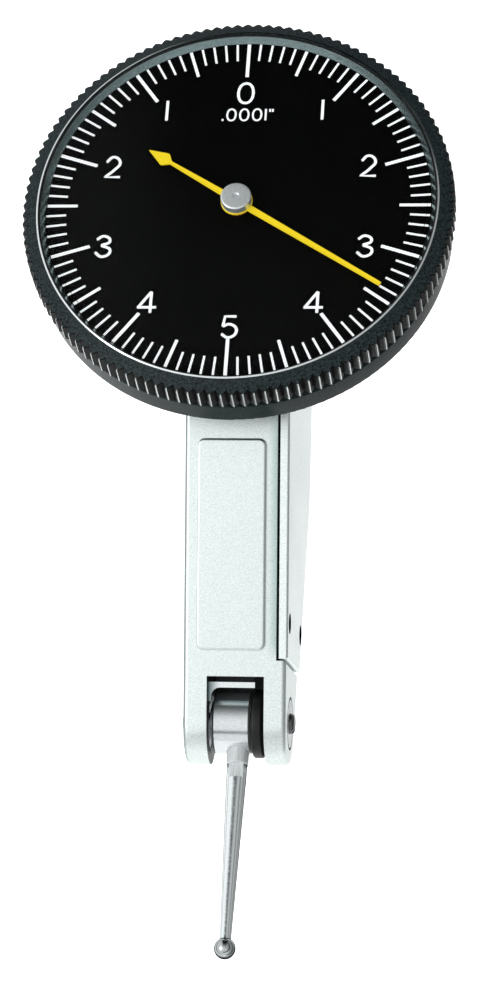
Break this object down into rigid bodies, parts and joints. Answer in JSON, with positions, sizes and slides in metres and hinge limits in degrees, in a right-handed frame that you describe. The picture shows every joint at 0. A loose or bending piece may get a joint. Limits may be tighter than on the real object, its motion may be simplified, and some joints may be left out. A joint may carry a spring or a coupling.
{
  "type": "dial test indicator",
  "caption": "Lever-type dial test indicator: round dial in a turning knurled bezel on a sloped body with a forked nose and a swivelling ball contact.",
  "frame": {"origin": "middle of the outer face of the dovetail rail on the back of the body", "axes": "+Z out of the dial towards the reader, +Y towards the dial's twelve o'clock, the contact points along -Y at rest"},
  "size_m": [0.035, 0.0731, 0.0305],
  "materials": {
    "satin_plate": "fine satin plating",
    "black_knurl": "satin black with a straight knurl",
    "black_case": "satin black",
    "bright_steel": "turned bright",
    "ground_steel": "fine ground",
    "polished_steel": "polished",
    "carbide": "polished",
    "black_steel": "blackened",
    "brass": "fine turned",
    "ruby": "polished",
    "spring_steel": "blue-grey",
    "clear_crystal": "clear polished",
    "black_rubber": "matte",
    "dial_black": "matte black",
    "pointer_yellow": "satin yellow"
  },
  "bodies": {
    "body": {"body_housing": "satin_plate", "side_cover": "satin_plate", "cover_screws": "bright_steel", "left_pivot_bush": "bright_steel", "right_pivot_bush": "bright_steel", "left_pivot_screw": "bright_steel", "right_pivot_screw": "bright_steel", "dust_shield": "ground_steel", "dial_case": "black_case", "case_screws": "bright_steel", "bezel_spring_ring": "spring_steel", "upper_bridge": "brass", "bridge_screws": "bright_steel", "upper_jewel": "ruby", "hairspring": "spring_steel", "hairspring_stud": "brass", "pinion_cock": "brass", "pinion_cock_screw": "bright_steel", "lower_jewel": "ruby", "arbor_cock": "brass", "arbor_cock_screws": "bright_steel", "left_arbor_jewel": "ruby", "right_arbor_jewel": "ruby"},
    "bezel": {"bezel_ring": "black_knurl", "crystal": "clear_crystal", "crystal_gasket": "black_rubber", "dial_plate": "dial_black", "dial_retaining_ring": "spring_steel"},
    "pointer": {"pointer_hand": "pointer_yellow", "pointer_hub_cap": "bright_steel", "center_arbor": "bright_steel", "hairspring_collet": "brass"},
    "crown": {"crown_wheel": "brass", "crown_arbor": "bright_steel"},
    "lever": {"lever_arm": "black_steel", "sector_gear": "brass", "pivot_axle": "bright_steel", "friction_washer": "spring_steel"},
    "stylus": {"swivel_hub": "ground_steel", "contact_stem": "polished_steel", "contact_ball": "carbide"}
  },
  "joints": [
    {"name": "bezel_turn", "type": "hinge", "parent": "body", "child": "bezel", "pos_m": [0, 0.0216, 0.0275], "axis": [0, 0, 1], "continuous": true},
    {"name": "pointer_spin", "type": "hinge", "parent": "body", "child": "pointer", "pos_m": [0, 0.0216, 0.0275], "axis": [0, 0, 1], "range_deg": [-200, 200], "stiffness_Nm_per_rad": 0.000002},
    {"name": "crown_spin", "type": "hinge", "parent": "body", "child": "crown", "pos_m": [0, 0.0216, 0.0145], "axis": [1, 0, 0], "range_deg": [-20.5, 20.5]},
    {"name": "lever_tilt", "type": "hinge", "parent": "body", "child": "lever", "pos_m": [0, -0.01385, 0.00505], "axis": [1, 0, 0], "range_deg": [-0.43, 0.43]},
    {"name": "contact_swivel", "type": "hinge", "parent": "lever", "child": "stylus", "pos_m": [0, -0.01385, 0.00505], "axis": [1, 0, 0], "range_deg": [-95, 105]}
  ],
  "couplings": [
    {"joint": "crown_spin", "follows": "pointer_spin", "ratio": 0.1},
    {"joint": "lever_tilt", "follows": "pointer_spin", "ratio": -0.0021}
  ]
}
